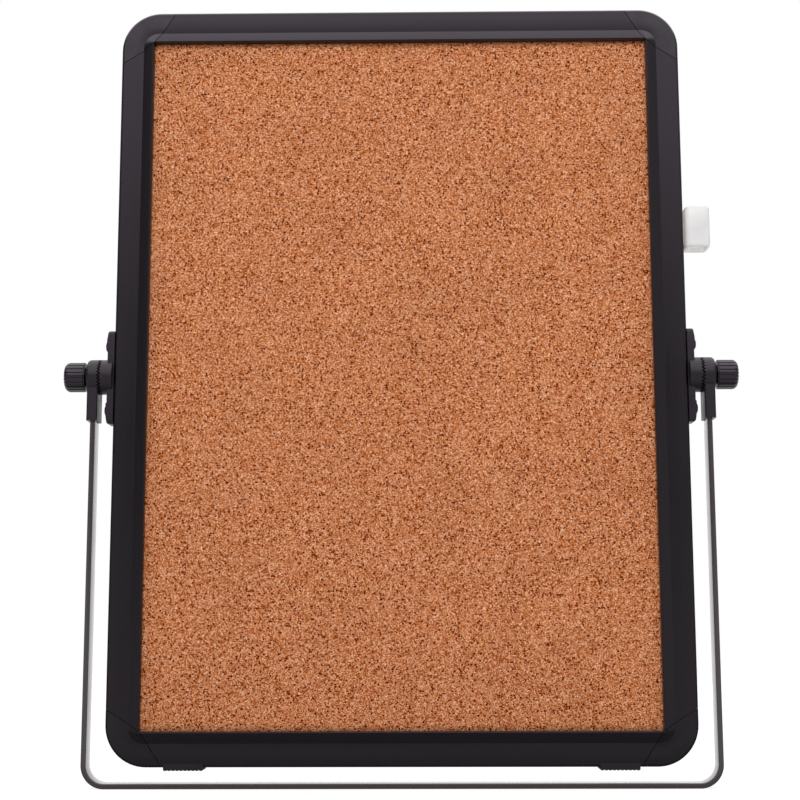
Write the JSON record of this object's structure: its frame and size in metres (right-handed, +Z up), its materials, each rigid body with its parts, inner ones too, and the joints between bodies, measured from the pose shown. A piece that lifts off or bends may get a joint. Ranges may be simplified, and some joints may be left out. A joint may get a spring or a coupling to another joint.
{
  "type": "cork bulletin board on a swivelling stand",
  "caption": "Rounded upright board with a cork face and a white back, framed in black and held by clamping hubs between the arms of a flat U-shaped stand.",
  "frame": {"origin": "under the middle of the stand's bar, in line with the pivots", "axes": "+Z up along the board, +X along the pivots to the side with the pen loop, and the cork faces -Y"},
  "size_m": [0.3536, 0.0184, 0.4108],
  "materials": {
    "cork": "agglomerated cork, matt and granular",
    "core": "raw fibreboard",
    "writing_sheet": "white gloss paint",
    "frame_rail": "satin black",
    "corner_cap": "moulded, satin black",
    "hub_moulding": "moulded, fine matt black",
    "knob": "moulded, satin black",
    "zinc_steel": "zinc plated",
    "black_steel": "blackened",
    "stand_strip": "satin black paint",
    "rubber": "matt",
    "pen_loop": "moulded white, slightly milky",
    "tape": "foam tape"
  },
  "bodies": {
    "stand": {"stand_strip": "stand_strip", "arm_socket_left": "hub_moulding", "arm_socket_right": "hub_moulding"},
    "board": {"cork_sheet": "cork", "core_board": "core", "writing_sheet": "writing_sheet", "rail_top": "frame_rail", "rail_bottom": "frame_rail", "rail_left": "frame_rail", "rail_right": "frame_rail", "corner_cap_top_left": "corner_cap", "corner_cap_top_right": "corner_cap", "corner_cap_bottom_left": "corner_cap", "corner_cap_bottom_right": "corner_cap", "pivot_bracket_left": "hub_moulding", "pivot_bracket_right": "hub_moulding", "pivot_nut_left": "zinc_steel", "pivot_nut_right": "zinc_steel", "bracket_screw_left_upper": "black_steel", "bracket_screw_left_lower": "black_steel", "bracket_screw_right_upper": "black_steel", "bracket_screw_right_lower": "black_steel", "foot_left": "rubber", "foot_right": "rubber", "pen_loop": "pen_loop", "pen_loop_tape": "tape"},
    "washer_left": {"washer_left": "black_steel"},
    "knob_left": {"knob_left": "knob", "knob_stud_left": "zinc_steel"},
    "washer_right": {"washer_right": "black_steel"},
    "knob_right": {"knob_right": "knob", "knob_stud_right": "zinc_steel"}
  },
  "joints": [
    {"name": "board_swing", "type": "hinge", "parent": "stand", "child": "board", "pos_m": [0, 0, 0.2113], "axis": [1, 0, 0], "range_deg": [-165, 165]},
    {"name": "knob_left_travel", "type": "slide", "parent": "stand", "child": "washer_left", "axis": [-1, 0, 0], "range_m": [0, 0.00161]},
    {"name": "knob_left_turn", "type": "hinge", "parent": "washer_left", "child": "knob_left", "pos_m": [-0.17, 0, 0.2113], "axis": [-1, 0, 0], "range_deg": [0, 720]},
    {"name": "knob_right_travel", "type": "slide", "parent": "stand", "child": "washer_right", "axis": [1, 0, 0], "range_m": [0, 0.00161]},
    {"name": "knob_right_turn", "type": "hinge", "parent": "washer_right", "child": "knob_right", "pos_m": [0.17, 0, 0.2113], "axis": [1, 0, 0], "range_deg": [0, 720]}
  ],
  "couplings": [
    {"joint": "knob_left_travel", "follows": "knob_left_turn", "m_per_rad": 0.00012732},
    {"joint": "knob_right_travel", "follows": "knob_right_turn", "m_per_rad": 0.00012732}
  ]
}
